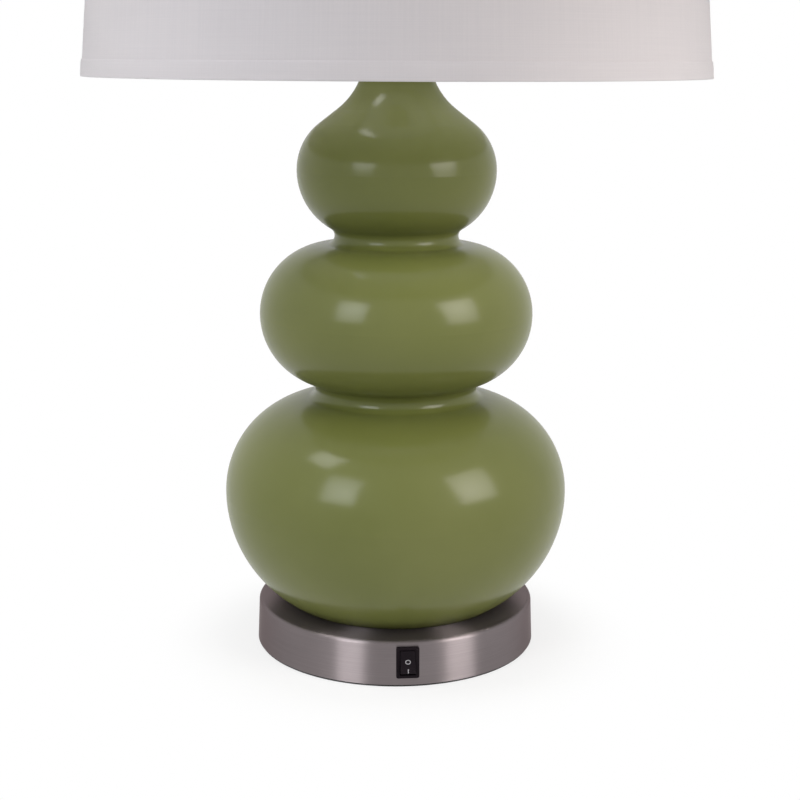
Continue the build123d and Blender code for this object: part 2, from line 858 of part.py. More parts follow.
def shade_top_hem():
    """Upper hem, its inner fold notched where the spider's arms reach the ring."""
    hem = shade_hem(shade_top, -1)
    low = shade_top - hem_height
    high = ring_height + spider_wire + hem_notch_clearance
    folds = [shade_radius(height, hem_depth()) for height in (low, shade_top)]
    inside = min(folds) - hem_thickness - hem_notch_clearance
    outside = max(folds) + hem_notch_clearance
    window = Box(outside - inside, 2 * (spider_wire + hem_notch_clearance), high - low)
    for place in spider_places():
        hem -= place * Pos((inside + outside) / 2, 0, (low + high) / 2) * window
    return hem


def shade_spider():
    """Hub and arms: each arm runs level from the hub and turns up to the ring."""
    level = swivel_seat_top + hub_thickness / 2
    rim = ring_radius(ring_height) - ring_wire - 0.05
    path = FilletPolyline(
        (hub_radius - spider_wire, 0, level),
        (rim - spider_drop * 0.5, 0, level),
        (rim - spider_wire, 0, ring_height),
        radius=spider_bend,
    )
    arm = sweep(Plane(path @ 0, z_dir=path % 0) * Circle(min(spider_wire, hub_thickness * 0.8)), path)
    hub = disc(hub_radius, swivel_seat_top, hub_thickness, stud_radius + hub_clearance)
    for place in spider_places():
        hub += place * arm
    return hub


# ------------------------------------------------------------------ finial
def finial():
    """Turned knob with a blind hole for the stud."""
    hole = stud_radius + finial_fit
    depth = stud_length - hub_thickness + finial_hole_spare
    neck_end = hub_top + finial_neck_height
    centre = neck_end + math.sqrt(finial_ball_radius**2 - finial_neck_radius**2)
    ball = arc((0, centre), finial_ball_radius, angle_of((0, centre), (finial_neck_radius, neck_end)), 90)
    side = Polyline(
        (0, hub_top + depth),
        (hole, hub_top + depth),
        (hole, hub_top),
        (finial_foot_radius, hub_top),
        (finial_foot_radius, hub_top + 1.8),
        (finial_neck_radius, hub_top + 4.0),
        (finial_neck_radius, neck_end),
    )
    face = make_face([side, ball, Line(ball @ 1, (0, hub_top + depth))])
    for point, radius in (((finial_foot_radius, hub_top + 1.8, 0), 0.6), ((finial_neck_radius, hub_top + 4.0, 0), 1.5)):
        face = fillet(face.vertices().sort_by_distance(point)[0], radius)
    return revolve(Plane.XZ * face, Axis.Z)


# ------------------------------------------------------------------ rocker switch
def snap_tab():
    """Wedge at the upper end of the switch's body, behind the foot's wall."""
    root = switch_body_height / 2
    edge = root + switch_panel_clearance + snap_bite
    start = -foot_wall - snap_gap
    wedge = make_face(Polyline((root, start), (edge, start), (root, start - snap_length), close=True))
    return extrude(Plane.YZ * wedge, snap_width / 2, both=True)


def switch_housing():
    """Bezel on the foot's side and the body behind it, hollowed for the rocker."""
    bezel = extrude(RectangleRounded(bezel_width, bezel_height, bezel_corner), bezel_thickness)
    bezel = fillet(bezel.faces().sort_by(Axis.Z)[-1].edges(), bezel_round)
    body = Pos(0, 0, -switch_body_depth / 2) * Box(switch_body_width, switch_body_height, switch_body_depth)
    well_span = well_depth + bezel_thickness
    well = Pos(0, 0, bezel_thickness - well_span / 2) * Box(well_width, well_height, well_span)
    pivot = Pos(0, 0, -pivot_depth) * Rot(0, 90, 0) * Cylinder(
        pivot_pin_radius + pivot_clearance, well_width + 2 * pivot_pin_length
    )
    housing = bezel + body + snap_tab() + Rot(0, 0, 180) * snap_tab() - well - pivot
    for y in (-spade_pitch / 2, spade_pitch / 2):
        housing -= Pos(0, y, -switch_body_depth + spade_root / 2) * Box(
            spade_width + 2 * spade_clearance, spade_thickness + 2 * spade_clearance, spade_root
        )
    return side_plane(0, switch_height) * housing


def rocker_profile():
    """Side view of the rocker about its pivot: hollow face, upright ends, narrower belly."""
    half = rocker_throw / 2
    end = rocker_face_height + rocker_half_length * math.tan(math.radians(half))
    face = ThreePointArc((-rocker_half_length, end), (0, rocker_face_height), (rocker_half_length, end))
    back = Polyline(
        (rocker_half_length, end),
        (rocker_half_length, 1.0),
        (rocker_half_length * 0.65, -rocker_belly),
        (-rocker_half_length * 0.65, -rocker_belly),
        (-rocker_half_length, 1.0),
        (-rocker_half_length, end),
    )
    return make_face([face, back])


def switch_rocker():
    """Rocker in its off position: its upper half pressed in."""
    block = extrude(Plane.YZ * rocker_profile(), rocker_width / 2, both=True)
    block = fillet(block.edges().group_by(Axis.Z)[-1], rocker_round)
    pin_span = well_width + 2 * pivot_pin_length - 2 * (well_width - rocker_width) / 2
    rocker = block + Rot(0, 90, 0) * Cylinder(pivot_pin_radius, pin_span)
    place = side_plane(0, switch_height) * Pos(0, 0, -pivot_depth) * Rot(-rocker_throw / 2, 0, 0)
    return place * rocker


def switch_spades():
    """Two flat terminals behind the switch."""
    length = spade_length + spade_root - spade_clearance
    middle = -switch_body_depth - spade_length + length / 2
    blade = Box(spade_width, spade_thickness, length)
    blade -= Pos(0, 0, -length * 0.28) * Rot(90, 0, 0) * Cylinder(spade_width * 0.17, 3 * spade_thickness)
    place = side_plane(0, switch_height)
    return [place * Pos(0, y, middle) * blade for y in (-spade_pitch / 2, spade_pitch / 2)]


# ------------------------------------------------------------------ cord bush
def cord_bush():
    """Snap-in bush in the back of the foot, where the supply cord goes in."""
    snap_start = -(foot_wall + bush_snap_gap)
    snap_end = snap_start - bush_snap_length
    bush = turned(
        [
            (bush_bore, bush_flange_thickness),
            (bush_flange_radius, bush_flange_thickness),
            (bush_flange_radius, 0),
            (bush_radius, 0),
            (bush_radius, snap_start),
            (bush_snap_radius, snap_start),
            (bush_radius, snap_end),
            (bush_bore, snap_end),
        ],
        [(1, 0.6)],
    )
    return side_plane(180, bush_height) * bush


parts = {
    "base_pan": base_pan(),
    "base_felt": base_felt(),
    "base_cover": base_cover(),
    "cover_screws": cover_screws(),
    "cover_posts": cover_posts(),
    "ballast": ballast(),
    "base_washer": disc(washer_radius, low_washer_bottom, washer_thickness, tube_hole),
    "base_nut": hex_nut(low_nut_bottom),
    "centre_tube": centre_tube(),
    "seat_gasket": seat_gasket(),
    "ceramic_body": ceramic_body(),
    "vase_cap": vase_cap(),
    "neck_nut": hex_nut(cap_top),
    "neck_collar": neck_collar(),
    "harp_saddle": harp_saddle(),
    "socket_cap": socket_cap(),
    "socket_set_screw": socket_set_screw(),
    "socket_shell": socket_shell(),
    "socket_liner": socket_liner(),
    "socket_core": socket_core(),
    "socket_terminals": socket_terminals(),
    "socket_screw_shell": socket_screw_shell(),
    "socket_contact": socket_contact(),
    "bulb_glass": bulb_glass(),
    "bulb_cap": bulb_cap(),
    "bulb_insulator": bulb_insulator(),
    "bulb_tip_contact": bulb_tip_contact(),
    "harp": harp(),
    "harp_ferrule_left": harp_ferrule(-1),
    "harp_ferrule_right": harp_ferrule(1),
    "harp_swivel": harp_swivel(),
    "shade_fabric": shade_fabric(),
    "shade_liner": shade_liner(),
    "shade_bottom_ring": wire_ring(shade_bottom + ring_inset),
    "shade_top_ring": wire_ring(ring_height),
    "shade_bottom_hem": shade_hem(shade_bottom, 1),
    "shade_top_hem": shade_top_hem(),
    "shade_spider": shade_spider(),
    "finial": finial(),
    "switch_housing": switch_housing(),
    "switch_rocker": switch_rocker(),
    "switch_spades": switch_spades(),
    "cord_bush": cord_bush(),
}

os.makedirs("parts", exist_ok=True)
for name, shape in parts.items():
    whole = Compound(children=shape) if isinstance(shape, list) else shape
    export_step(whole, f"parts/{name}.step")
print("shade bottom", round(shade_bottom, 2), "shade top", round(shade_top, 2), "neck top", round(neck_top, 2))
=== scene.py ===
# Table lamp: three stacked glazed bulbs on a brushed foot, with a rocker switch, harp and drum shade.
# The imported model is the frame. Lengths are metres, angles degrees.
import json
import math

import bmesh
import bpy
from mathutils import Matrix, Vector
from mathutils.bvhtree import BVHTree


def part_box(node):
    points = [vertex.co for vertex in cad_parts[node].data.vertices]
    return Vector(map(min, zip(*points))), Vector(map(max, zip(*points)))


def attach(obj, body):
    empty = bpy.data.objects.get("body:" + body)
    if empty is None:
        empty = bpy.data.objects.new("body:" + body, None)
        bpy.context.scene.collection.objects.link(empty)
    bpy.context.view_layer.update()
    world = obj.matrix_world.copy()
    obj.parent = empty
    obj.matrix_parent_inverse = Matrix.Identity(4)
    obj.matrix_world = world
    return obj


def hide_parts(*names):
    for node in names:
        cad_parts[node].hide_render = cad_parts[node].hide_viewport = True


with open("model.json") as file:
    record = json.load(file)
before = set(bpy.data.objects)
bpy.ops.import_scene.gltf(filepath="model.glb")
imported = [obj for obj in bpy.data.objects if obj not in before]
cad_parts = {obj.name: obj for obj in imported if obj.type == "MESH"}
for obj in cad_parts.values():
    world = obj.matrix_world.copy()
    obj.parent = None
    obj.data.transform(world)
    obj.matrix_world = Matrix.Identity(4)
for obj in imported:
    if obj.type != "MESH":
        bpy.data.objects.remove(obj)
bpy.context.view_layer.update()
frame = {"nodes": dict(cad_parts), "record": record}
nodes = frame["nodes"]
mm = 0.001
near = 0.05 * mm  # points closer than this count as level
white = (1, 1, 1, 1)
print("frame loaded:", len(nodes), "nodes")


def addNode(tree, kind, x, y, **inputs):
    node = tree.nodes.new(kind)
    node.location = (x, y)
    for name, value in inputs.items():
        node.inputs[name].default_value = value
    return node


def mathNode(tree, operation, x, y, first, second=None, third=None):
    node = addNode(tree, "ShaderNodeMath", x, y)
    node.operation = operation
    for socket, value in zip(node.inputs, (first, second, third)):
        if isinstance(value, bpy.types.NodeSocket):
            tree.links.new(value, socket)
        elif value is not None:
            socket.default_value = value
    return node.outputs[0]


def rampNode(tree, x, y, factor, stops):
    node = addNode(tree, "ShaderNodeValToRGB", x, y)
    ramp = node.color_ramp
    while len(ramp.elements) < len(stops):
        ramp.elements.new(0.5)
    for element, (place, colour) in zip(ramp.elements, stops):
        element.position = place
        element.color = (*colour, 1)
    tree.links.new(factor, node.inputs["Fac"])
    return node.outputs["Color"]


def noiseNode(tree, x, y, vector, scale, detail=3.0, roughness=0.5):
    node = addNode(tree, "ShaderNodeTexNoise", x, y, Scale=scale, Detail=detail, Roughness=roughness)
    tree.links.new(vector, node.inputs["Vector"])
    return node.outputs["Fac"]


def bumpNode(tree, x, y, height, strength, distance, below=None):
    node = addNode(tree, "ShaderNodeBump", x, y, Strength=strength, Distance=distance)
    tree.links.new(height, node.inputs["Height"])
    if below is not None:
        tree.links.new(below, node.inputs["Normal"])
    return node.outputs["Normal"]


def newFinish(name, roughness, metallic=0.0):
    finish = bpy.data.materials.new(name)
    finish.use_nodes = True
    tree = finish.node_tree
    shader = tree.nodes["Principled BSDF"]
    shader.inputs["Roughness"].default_value = roughness
    shader.inputs["Metallic"].default_value = metallic
    place = addNode(tree, "ShaderNodeTexCoord", -1400, 0).outputs["Object"]
    return finish, tree, shader, place


def roundTheAxis(tree, place, anglePitch, depthPitch):
    # turns x, y, z into (angle, distance from the axis, height), stretched along the angle
    split = addNode(tree, "ShaderNodeSeparateXYZ", -1200, 0)
    tree.links.new(place, split.inputs[0])
    angle = mathNode(tree, "ARCTAN2", -1000, 200, split.outputs["Y"], split.outputs["X"])
    square = mathNode(tree, "MULTIPLY", -1000, 0, split.outputs["X"], split.outputs["X"])
    total = mathNode(tree, "MULTIPLY_ADD", -840, 0, split.outputs["Y"], split.outputs["Y"], square)
    radius = mathNode(tree, "SQRT", -700, 0, total)
    joined = addNode(tree, "ShaderNodeCombineXYZ", -560, 0)
    parts = ((angle, anglePitch), (radius, depthPitch), (split.outputs["Z"], depthPitch))
    for row, (part, pitch) in enumerate(parts):
        stretched = mathNode(tree, "MULTIPLY", -700, 200 - 180 * row, part, pitch)
        tree.links.new(stretched, joined.inputs[row])
    return joined.outputs[0]


def weighted(tree, x, y, first, share, second):
    # the two mixed, the first with this share
    rest = mathNode(tree, "MULTIPLY", x - 160, y - 160, second, 1 - share)
    return mathNode(tree, "MULTIPLY_ADD", x, y, first, share, rest)


def colourBy(tree, shader, factor, stops):
    tree.links.new(rampNode(tree, -300, 200, factor, stops), shader.inputs["Base Color"])


def roughBy(tree, shader, factor, middle, spread):
    rough = mathNode(tree, "MULTIPLY_ADD", -300, -100, factor, spread, middle - spread / 2)
    tree.links.new(rough, shader.inputs["Roughness"])


def meshOf(bm, name):
    bmesh.ops.recalc_face_normals(bm, faces=bm.faces)
    mesh = bpy.data.meshes.new(name)
    bm.to_mesh(mesh)
    bm.free()
    return mesh


def heightAndRadius(nodeName):
    # every point of a CAD node as its height and its distance from the lamp's axis
    return [(v.co.z, math.hypot(v.co.x, v.co.y)) for v in nodes[nodeName].data.vertices]


# olive glaze: even colour, thinner in places and pooled at the waists
glaze = {
    "colour": (0.134, 0.149, 0.038),
    "thin": (0.160, 0.172, 0.052),
    "pooled": (0.104, 0.120, 0.028),
    "pooledReach": 7 * mm,
    "cloudScale": 9.0,
    "waveScale": 30.0,
    "swellScale": 22.0,
    "swell": 0.25,
    "dimpleScale": 420.0,
    "dimple": 0.06,
    "roughness": 0.40,
    "gloss": 0.05,
    "coat": 0.38,
    "coatIndex": 1.6,
    "coatRoughness": 0.165,
}


def waistHeights():
    # heights at which the ceramic body is narrowest, read from its own surface
    step = 2 * mm
    reach = 4
    leastHollow = 2 * mm
    apart = 30 * mm
    widest = {}
    for z, radius in heightAndRadius("ceramic_body"):
        level = round(z / step)
        widest[level] = max(widest.get(level, 0), radius)
    levels = sorted(widest)
    found = []
    for low, level, high in zip(levels, levels[reach:], levels[2 * reach :]):
        if widest[level] < min(widest[low], widest[high]) - leastHollow:
            if not found or level * step > found[-1] + apart:
                found.append(level * step)
    return found


def oliveGlaze():
    finish, tree, shader, place = newFinish("oliveGlaze", glaze["roughness"])
    cloud = noiseNode(tree, -900, 300, place, glaze["cloudScale"], 4.0)
    tone = rampNode(tree, -700, 300, cloud, [(0.35, glaze["colour"]), (0.72, glaze["thin"])])
    split = addNode(tree, "ShaderNodeSeparateXYZ", -1200, -200)
    tree.links.new(place, split.inputs[0])
    wave = noiseNode(tree, -1200, -420, place, glaze["waveScale"], 2.0)
    pooled = 0.0
    for row, height in enumerate(waistHeights()):
        y = -200 - 200 * row
        away = mathNode(tree, "SUBTRACT", -1000, y, split.outputs["Z"], height)
        distance = mathNode(tree, "ABSOLUTE", -860, y, away)
        share = mathNode(tree, "DIVIDE", -720, y, distance, glaze["pooledReach"])
        fade = mathNode(tree, "SUBTRACT", -580, y, 1.0, share)
        pooled = mathNode(tree, "MAXIMUM", -440, y, fade, pooled)
    mix = addNode(tree, "ShaderNodeMix", -200, 200)
    mix.data_type = "RGBA"
    tree.links.new(mathNode(tree, "MULTIPLY", -300, -300, pooled, wave), mix.inputs["Factor"])
    tree.links.new(tone, mix.inputs["A"])
    mix.inputs["B"].default_value = (*glaze["pooled"], 1)
    tree.links.new(mix.outputs["Result"], shader.inputs["Base Color"])
    swell = noiseNode(tree, -700, -1100, place, glaze["swellScale"], 2.0)
    dimple = noiseNode(tree, -700, -900, place, glaze["dimpleScale"], 1.0)
    uneven = bumpNode(tree, -400, -1000, swell, glaze["swell"], 2 * mm)
    skin = bumpNode(tree, -200, -1000, dimple, glaze["dimple"], 0.4 * mm, uneven)
    tree.links.new(skin, shader.inputs["Normal"])
    shader.inputs["Coat Weight"].default_value = glaze["coat"]
    shader.inputs["Coat IOR"].default_value = glaze["coatIndex"]
    shader.inputs["Coat Roughness"].default_value = glaze["coatRoughness"]
    shader.inputs["Specular IOR Level"].default_value = glaze["gloss"]
    return finish


# nickel brushed round the axis, a little brighter where it is worn
nickel = {
    "colour": (0.182, 0.158, 0.161),
    "worn": (0.230, 0.200, 0.204),
    "edge": (0.55, 0.50, 0.50),
    "lineTurns": 2.2,
    "linePitch": 2600.0,
    "lineShare": 0.6,
    "lineDepth": 0.12,
    "cloudScale": 18.0,
    "roughness": 0.35,
    "roughSpread": 0.16,
    "anisotropy": 1.0,
    "quarterTurn": 0.25,
}


def brushedNickel():
    finish, tree, shader, place = newFinish("brushedNickel", nickel["roughness"], 1.0)
    stretched = roundTheAxis(tree, place, nickel["lineTurns"], nickel["linePitch"])
    lines = noiseNode(tree, -360, 0, stretched, 1.0, 4.0, 0.6)
    cloud = noiseNode(tree, -360, 300, place, nickel["cloudScale"], 3.0)
    both = weighted(tree, -200, 200, lines, nickel["lineShare"], cloud)
    colourBy(tree, shader, both, [(0.35, nickel["colour"]), (0.68, nickel["worn"])])
    roughBy(tree, shader, lines, nickel["roughness"], nickel["roughSpread"])
    scratches = bumpNode(tree, -100, -300, lines, nickel["lineDepth"], 0.2 * mm)
    tree.links.new(scratches, shader.inputs["Normal"])
    tangent = addNode(tree, "ShaderNodeTangent", -100, -520)
    tangent.direction_type = "RADIAL"
    tangent.axis = "Z"
    tree.links.new(tangent.outputs[0], shader.inputs["Tangent"])
    shader.inputs["Anisotropic"].default_value = nickel["anisotropy"]
    shader.inputs["Anisotropic Rotation"].default_value = nickel["quarterTurn"]
    shader.inputs["Specular Tint"].default_value = (*nickel["edge"], 1)
    return finish


plating = {"cloudScale": 120.0, "darker": 0.93, "roughSpread": 0.06, "clouding": 0.02}
moulding = {"cloudScale": 60.0, "roughSpread": 0.10}


def platedSteel(name, colour, roughness):
    finish, tree, shader, place = newFinish(name, roughness, 1.0)
    cloud = noiseNode(tree, -600, 100, place, plating["cloudScale"], 4.0)
    dark = tuple(plating["darker"] * c for c in colour)
    colourBy(tree, shader, cloud, [(0.3, dark), (0.7, colour)])
    roughBy(tree, shader, cloud, roughness, plating["roughSpread"])
    uneven = bumpNode(tree, -300, -300, cloud, plating["clouding"], 0.2 * mm)
    tree.links.new(uneven, shader.inputs["Normal"])
    return finish


def moulded(name, colour, roughness, grain=900.0, depth=0.10, gloss=0.5, mottle=0.18):
    finish, tree, shader, place = newFinish(name, roughness)
    shader.inputs["Specular IOR Level"].default_value = gloss
    cloud = noiseNode(tree, -700, 200, place, moulding["cloudScale"], 3.0)
    bright = tuple(min(1.0, (1.0 + mottle) * c + 0.01 * mottle) for c in colour)
    colourBy(tree, shader, cloud, [(0.3, colour), (0.75, bright)])
    skin = noiseNode(tree, -700, -200, place, grain, 2.0)
    tree.links.new(bumpNode(tree, -400, -200, skin, depth, 0.2 * mm), shader.inputs["Normal"])
    roughBy(tree, shader, skin, roughness, moulding["roughSpread"])
    return finish


# linen of the shade: plain weave with slubs both ways
linen = {
    "colour": (0.632, 0.600, 0.620),
    "pale": (0.698, 0.658, 0.672),
    "threadPitch": 0.42 * mm,
    "hemPitchShare": 0.9,
    "slubScale": (16.0, 1500.0, 1.0),
    "uprightScale": (1100.0, 12.0, 1.0),
    "cloudScale": 7.0,
    "weaveDepth": 0.20,
    "yarnDepth": 0.15,
    "roughness": 0.85,
    "gloss": 0.2,
    "sheen": 0.25,
    "hemSheen": 0.35,
    "sheenRoughness": 0.6,
}


def wovenCloth(name, pitch, sheen):
    # the cloth pieces carry a UV map in metres, u round the shade and v up it
    finish, tree, shader, place = newFinish(name, linen["roughness"])
    flat = addNode(tree, "ShaderNodeUVMap", -1400, 300)
    split = addNode(tree, "ShaderNodeSeparateXYZ", -1200, 0)
    tree.links.new(flat.outputs[0], split.inputs[0])
    turn = 2 * math.pi / pitch
    waves = []
    for axis, y in (("X", 200), ("Y", 0)):
        steps = mathNode(tree, "MULTIPLY", -860, y, split.outputs[axis], turn)
        waves.append(mathNode(tree, "SINE", -700, y, steps))
    weave = mathNode(tree, "MULTIPLY", -560, 100, *waves)
    yarns = []
    for scale, y in ((linen["uprightScale"], -600), (linen["slubScale"], -200)):
        stretch = addNode(tree, "ShaderNodeMapping", -900, y, Scale=scale)
        tree.links.new(flat.outputs[0], stretch.inputs["Vector"])
        yarns.append(noiseNode(tree, -700, y, stretch.outputs[0], 1.0, 3.0))
    yarn = weighted(tree, -520, -300, yarns[0], 0.5, yarns[1])
    cloud = noiseNode(tree, -700, -400, place, linen["cloudScale"], 2.0)
    blend = weighted(tree, -400, -200, yarn, 0.5, cloud)
    colourBy(tree, shader, blend, [(0.35, linen["colour"]), (0.65, linen["pale"])])
    woven = bumpNode(tree, -300, -300, weave, linen["weaveDepth"], 0.1 * mm)
    cloth = bumpNode(tree, -120, -300, yarn, linen["yarnDepth"], 0.1 * mm, woven)
    tree.links.new(cloth, shader.inputs["Normal"])
    shader.inputs["Sheen Weight"].default_value = sheen
    shader.inputs["Sheen Roughness"].default_value = linen["sheenRoughness"]
    shader.inputs["Specular IOR Level"].default_value = linen["gloss"]
    return finish


# milky glass of the bulb
opal = {
    "colour": (0.80, 0.79, 0.76),
    "pale": (0.84, 0.83, 0.80),
    "cloudScale": 40.0,
    "roughness": 0.30,
    "milk": 0.3,
    "milkDepth": 0.01,
    "milkScale": 0.3,
    "coat": 0.5,
    "coatRoughness": 0.15,
}


def opalGlass():
    finish, tree, shader, place = newFinish("opalGlass", opal["roughness"])
    cloud = noiseNode(tree, -600, 0, place, opal["cloudScale"], 2.0)
    colourBy(tree, shader, cloud, [(0.3, opal["colour"]), (0.7, opal["pale"])])
    shader.inputs["Subsurface Weight"].default_value = opal["milk"]
    shader.inputs["Subsurface Radius"].default_value = (opal["milkDepth"],) * 3
    shader.inputs["Subsurface Scale"].default_value = opal["milkScale"]
    shader.inputs["Coat Weight"].default_value = opal["coat"]
    shader.inputs["Coat Roughness"].default_value = opal["coatRoughness"]
    return finish


blackFelt = {
    "colour": (0.012, 0.012, 0.013),
    "fluff": (0.045, 0.044, 0.044),
    "fluffScale": 1400.0,
    "fluffDepth": 0.6,
    "roughness": 0.95,
    "sheen": 0.4,
}


def felt():
    finish, tree, shader, place = newFinish("blackFelt", blackFelt["roughness"])
    fluff = noiseNode(tree, -600, 0, place, blackFelt["fluffScale"], 4.0, 0.8)
    colourBy(tree, shader, fluff, [(0.3, blackFelt["colour"]), (0.8, blackFelt["fluff"])])
    skin = bumpNode(tree, -300, -200, fluff, blackFelt["fluffDepth"], 0.6 * mm)
    tree.links.new(skin, shader.inputs["Normal"])
    shader.inputs["Sheen Weight"].default_value = blackFelt["sheen"]
    return finish


# one finish for each material slot of the record
finishes = {
    "brushed_nickel": brushedNickel(),
    "felt": felt(),
    "black_board": moulded("blackCover", (0.030, 0.030, 0.030), 0.55, 500.0),
    "zinc_steel": platedSteel("zincSteel", (0.60, 0.60, 0.58), 0.38),
    "cast_weight": moulded("castWeight", (0.08, 0.08, 0.082), 0.75, 160.0, 0.5),
    "brass_hardware": platedSteel("brassHardware", (0.62, 0.47, 0.21), 0.32),
    "seal_rubber": moulded("sealRubber", (0.025, 0.025, 0.026), 0.8, 400.0),
    "green_glaze": oliveGlaze(),
    "harp_steel": platedSteel("harpSteel", (0.56, 0.55, 0.53), 0.30),
    "socket_metal": platedSteel("socketMetal", (0.55, 0.54, 0.52), 0.28),
    "fibre_liner": moulded("fibreLiner", (0.30, 0.23, 0.15), 0.85, 300.0, 0.3),
    "socket_moulding": moulded("socketMoulding", (0.045, 0.032, 0.024), 0.5),
    "bulb_aluminium": platedSteel("bulbAluminium", (0.70, 0.70, 0.70), 0.36),
    "opal_glass": opalGlass(),
    "black_glass": moulded("blackGlass", (0.015, 0.015, 0.016), 0.12, 60.0, 0.02),
    "solder": platedSteel("solder", (0.50, 0.51, 0.52), 0.34),
    "shade_cloth": wovenCloth("shadeLinen", linen["threadPitch"], linen["sheen"]),
    "shade_backing": moulded("shadeBacking", (0.80, 0.79, 0.77), 0.45, 200.0, 0.03, mottle=0.03),
    "hem_cloth": wovenCloth("hemTape", linen["hemPitchShare"] * linen["threadPitch"], linen["hemSheen"]),
    "white_wire": moulded("whiteWire", (0.78, 0.78, 0.76), 0.4, 500.0, 0.05, mottle=0.04),
    "switch_plastic": moulded("switchPlastic", (0.0058, 0.0030, 0.0048), 0.5, gloss=0.09),
    "rocker_plastic": moulded("rockerPlastic", (0.0054, 0.0028, 0.0048), 0.45, 700.0, 0.05, gloss=0.10),
}
for sub in frame["record"]["subparts"]:
    for slot in nodes[sub["node"]].material_slots:
        slot.material = finishes[sub["material_slot"]]
print("finishes set:", len(finishes))


def addPiece(name, mesh, finish, body):
    piece = bpy.data.objects.new(name, mesh)
    bpy.context.scene.collection.objects.link(piece)
    mesh.materials.clear()
    mesh.materials.append(finish)
    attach(piece, body)
    return piece


def surfaceUnder(nodeName):
    # looks from the front onto a CAD node: returns the point and normal behind an (x, z)
    node = nodes[nodeName]
    corners = [v.co for v in node.data.vertices]
    tree = BVHTree.FromPolygons(corners, [p.vertices for p in node.data.polygons])

    def look(x, z):
        point, normal, _, _ = tree.ray_cast(Vector((x, -1, z)), Vector((0, 1, 0)))
        return point, normal

    return look


# the painted O and I on the rocker
switchMarks = {
    "ringCentre": 17.9 * mm,
    "ringWide": 1.55 * mm,
    "ringTall": 1.20 * mm,
    "barCentre": 11.85 * mm,
    "barLength": 3.4 * mm,
    "stroke": 0.52 * mm,
    "lift": 0.03 * mm,
    "ringSteps": 40,
    "barSteps": 8,
    "paint": (0.34, 0.33, 0.35),
}


def buildSwitchMarks():
    look = surfaceUnder("switch_rocker")
    half = switchMarks["stroke"] / 2
    bm = bmesh.new()

    def onFace(x, z):
        point, normal = look(x, z)
        return bm.verts.new(point + normal * switchMarks["lift"])

    def stroke(rows):
        for low, high in zip(rows, rows[1:]):
            bm.faces.new((low[0], low[1], high[1], high[0]))

    ring = []
    for i in range(switchMarks["ringSteps"]):
        turn = 2 * math.pi * i / switchMarks["ringSteps"]
        row = []
        for side in (-half, half):
            x = (switchMarks["ringWide"] + side) * math.cos(turn)
            z = switchMarks["ringCentre"] + (switchMarks["ringTall"] + side) * math.sin(turn)
            row.append(onFace(x, z))
        ring.append(row)
    stroke(ring + ring[:1])
    bar = []
    for i in range(switchMarks["barSteps"] + 1):
        z = switchMarks["barCentre"] + switchMarks["barLength"] * (i / switchMarks["barSteps"] - 0.5)
        bar.append([onFace(x, z) for x in (-half, half)])
    stroke(bar)
    mesh = meshOf(bm, "switchMarks")
    finish = moulded("markPaint", switchMarks["paint"], 0.5)
    addPiece("switchMarks", mesh, finish, "rocker")


buildSwitchMarks()
print("switch marks done")


# the cloth with its lap seam, and the two folded hems
shade = {
    "clothThickness": 0.40 * mm,
    "clothGap": 0.04 * mm,
    "lap": 10.0 * mm,
    "lapRamp": 3.0 * mm,
    "ripple": 0.10 * mm,
    "hemPuff": 0.16 * mm,
    "hemRipple": 0.10 * mm,
    "hemStops": (0.12, 0.3, 0.5, 0.7, 0.88),
    "rimRound": 0.22 * mm,
    "steps": 360,
    "rows": 28,
    "sharpAngle": 35,
    "armAngles": (90, 210, 330),
    "armRoom": 1.9 * mm,
    "seamAngle": 97,
}


def coneOf(nodeName):
    # height and outer radius of a CAD ring, at its bottom and at its top
    points = heightAndRadius(nodeName)
    low, high = min(z for z, r in points), max(z for z, r in points)
    lowRadius = max(r for z, r in points if z < low + near)
    highRadius = max(r for z, r in points if z > high - near)
    return low, lowRadius, high, highRadius


def ripple(turn, rise, size):
    # slow unevenness of cloth laid on a card, as three waves
    longWave = 0.5 * math.sin(3 * turn + 5 * rise)
    midWave = 0.3 * math.sin(7 * turn - 9 * rise)
    shortWave = 0.2 * math.sin(13 * turn)
    return size * (longWave + midWave + shortWave)


def lapRaise(travel, whole, radius):
    # how far the last stretch of a strip is lifted where it lies on its own start
    start = whole - shade["lap"] / radius
    ramp = shade["lapRamp"] / radius
    return min(max((travel - start + ramp) / ramp, 0.0), 1.0)


def stripMesh(name, profile, stations, radius):
    # sweeps a closed profile round the shade once, with its end lapped over its start
    bm = bmesh.new()
    layer = bm.loops.layers.uv.new("UVMap")
    first = math.radians(shade["seamAngle"])
    sections = []
    for travel in stations:
        across, deep = math.cos(first + travel), math.sin(first + travel)
        sections.append([bm.verts.new((r * across, r * deep, z)) for r, z in profile(travel)])
    lengths = [0.0]
    points = profile(stations[0])
    for (r0, z0), (r1, z1) in zip(points, points[1:] + points[:1]):
        lengths.append(lengths[-1] + math.hypot(r1 - r0, z1 - z0))
    count = len(points)
    for i, (one, two) in enumerate(zip(sections, sections[1:])):
        left, right = stations[i] * radius, stations[i + 1] * radius
        for j in range(count):
            k = (j + 1) % count
            face = bm.faces.new((one[j], two[j], two[k], one[k]))
            low, high = lengths[j], lengths[j + 1]
            for loop, spot in zip(face.loops, ((left, low), (right, low), (right, high), (left, high))):
                loop[layer].uv = spot
    bm.faces.new(sections[0])
    bm.faces.new(list(reversed(sections[-1])))
    bmesh.ops.triangulate(bm, faces=[f for f in bm.faces if len(f.verts) > 4])
    mesh = meshOf(bm, name)
    for polygon in mesh.polygons:
        polygon.use_smooth = True
    mesh.set_sharp_from_angle(angle=math.radians(shade["sharpAngle"]))
    return mesh


def evenStations(whole, extra):
    steps = [whole * i / shade["steps"] for i in range(shade["steps"] + 1)]
    return sorted(set(steps + [e for e in extra if 0 < e < whole]))


